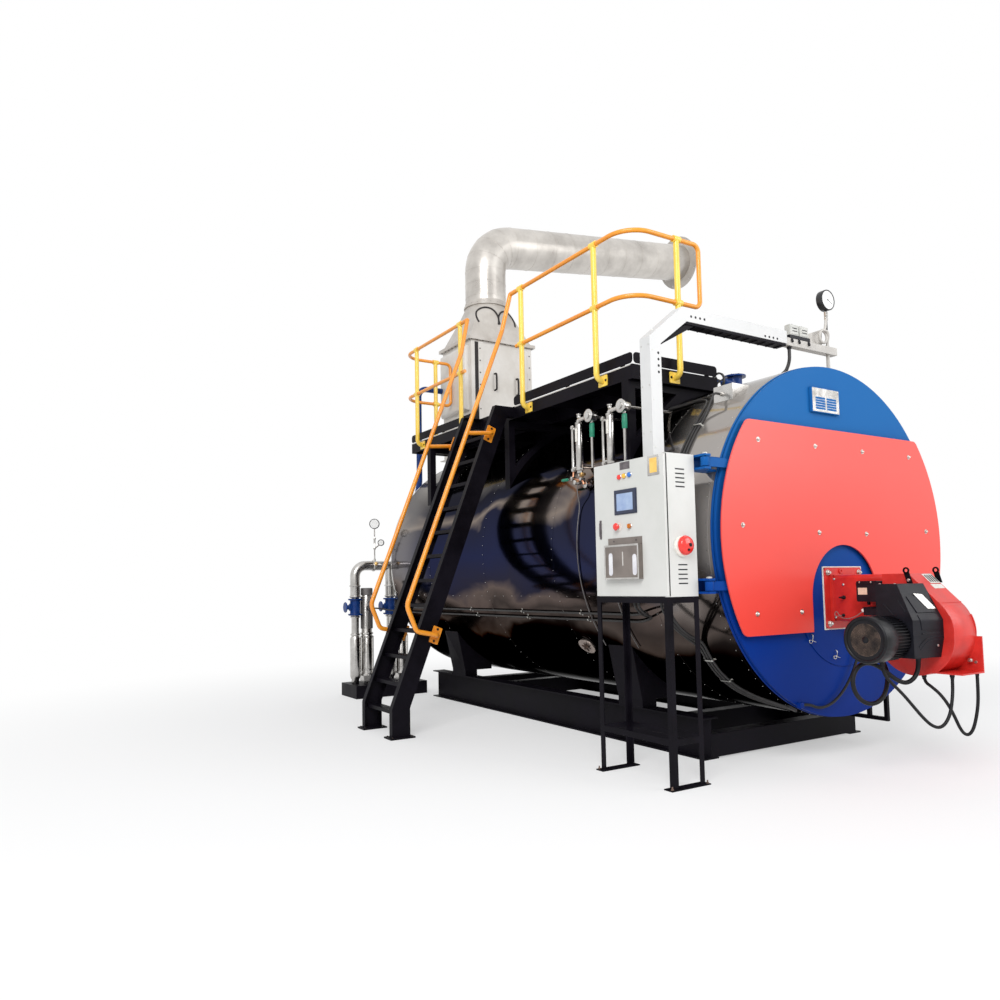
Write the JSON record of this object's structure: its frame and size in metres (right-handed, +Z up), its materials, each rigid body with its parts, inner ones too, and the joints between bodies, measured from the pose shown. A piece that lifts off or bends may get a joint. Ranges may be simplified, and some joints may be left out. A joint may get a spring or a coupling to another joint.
{
  "type": "packaged fire-tube steam boiler",
  "caption": "Horizontal fire-tube boiler on a skid with hinged burner door, control cabinet, service platform, ladder, economiser, flue duct and feed pumps.",
  "frame": {"origin": "on the floor, on the underside of the front cross member, midway between the skid beams", "axes": "+X runs along the boiler and out of the burner end, +Y is the side away from the ladder and the control cabinet, +Z is up"},
  "size_m": [6.545, 6.0381, 6.62],
  "materials": {
    "cladding": "polished",
    "door_blue": "gloss",
    "panel_red": "gloss",
    "frame_black": "satin",
    "rail_orange": "gloss",
    "post_yellow": "gloss",
    "cabinet_grey": "satin",
    "stainless": "brushed",
    "sheet_aluminium": "satin",
    "black_plastic": "matte",
    "burner_red": "satin",
    "boiler_steel": "matte",
    "refractory": "matte",
    "valve_blue": "gloss",
    "gauge_black": "satin",
    "trunk_white": "satin",
    "black_rubber": "matte"
  },
  "bodies": {
    "boiler": {"shell_barrel": "cladding", "rear_cover": "sheet_aluminium", "front_tube_plate": "boiler_steel", "furnace_tube": "boiler_steel", "front_ring": "door_blue", "door_hinges": "door_blue", "skid_beam_near": "frame_black", "skid_beam_far": "frame_black", "skid_cross_members": "frame_black", "saddle_front": "frame_black", "saddle_rear": "frame_black", "handhole_cover": "stainless", "platform_frame": "frame_black", "platform_deck": "frame_black", "platform_brackets": "frame_black", "toe_boards": "frame_black", "guardrail_front": "rail_orange", "guardrail_rear": "rail_orange", "guard_posts_front": "post_yellow", "guard_posts_rear": "post_yellow", "ladder_stringers": "frame_black", "ladder_treads": "frame_black", "ladder_handrails": "rail_orange", "cabinet_body": "cabinet_grey", "cabinet_stand": "frame_black", "cable_trunk": "trunk_white", "gauge_rail": "trunk_white", "pressure_gauge": "gauge_black", "economiser_casing": "sheet_aluminium", "flue_collar": "sheet_aluminium", "economiser_hood": "sheet_aluminium", "flue_duct": "sheet_aluminium", "duct_flange": "sheet_aluminium", "pump_base": "frame_black", "feed_pumps": "stainless", "steam_valve": "valve_blue", "feed_header": "stainless", "feed_riser": "valve_blue", "level_gauges": "stainless", "terminal_box": "stainless", "upper_cables": "black_rubber", "lower_cables": "black_rubber", "front_frame": "frame_black"},
    "burner_door": {"front_door": "door_blue", "door_lining": "refractory", "door_panel": "panel_red", "panel_studs": "stainless", "burner_plate": "door_blue", "burner_flange": "burner_red", "burner_head": "burner_red", "fan_housing": "burner_red", "burner_cover": "black_plastic", "fan_motor": "gauge_black", "supply_cable": "black_rubber", "ring_hose": "black_rubber", "near_loop": "black_rubber", "far_loop": "black_rubber"},
    "cabinet_door": {"cabinet_door": "cabinet_grey", "document_pocket": "stainless"},
    "handwheel": {"valve_handwheel": "gauge_black"}
  },
  "joints": [
    {"name": "burner_door_hinge", "type": "hinge", "parent": "boiler", "child": "burner_door", "pos_m": [1.32, -1.385, 1.6725], "axis": [0, 0, -1], "range_deg": [0, 90]},
    {"name": "cabinet_door_hinge", "type": "hinge", "parent": "boiler", "child": "cabinet_door", "pos_m": [1.253, -1.691, 1.665], "axis": [0, 0, 1], "range_deg": [0, 100]},
    {"name": "steam_valve_wheel", "type": "hinge", "parent": "boiler", "child": "handwheel", "pos_m": [0.3, -0.1, 3.008], "axis": [0, 1, 0], "continuous": true}
  ]
}
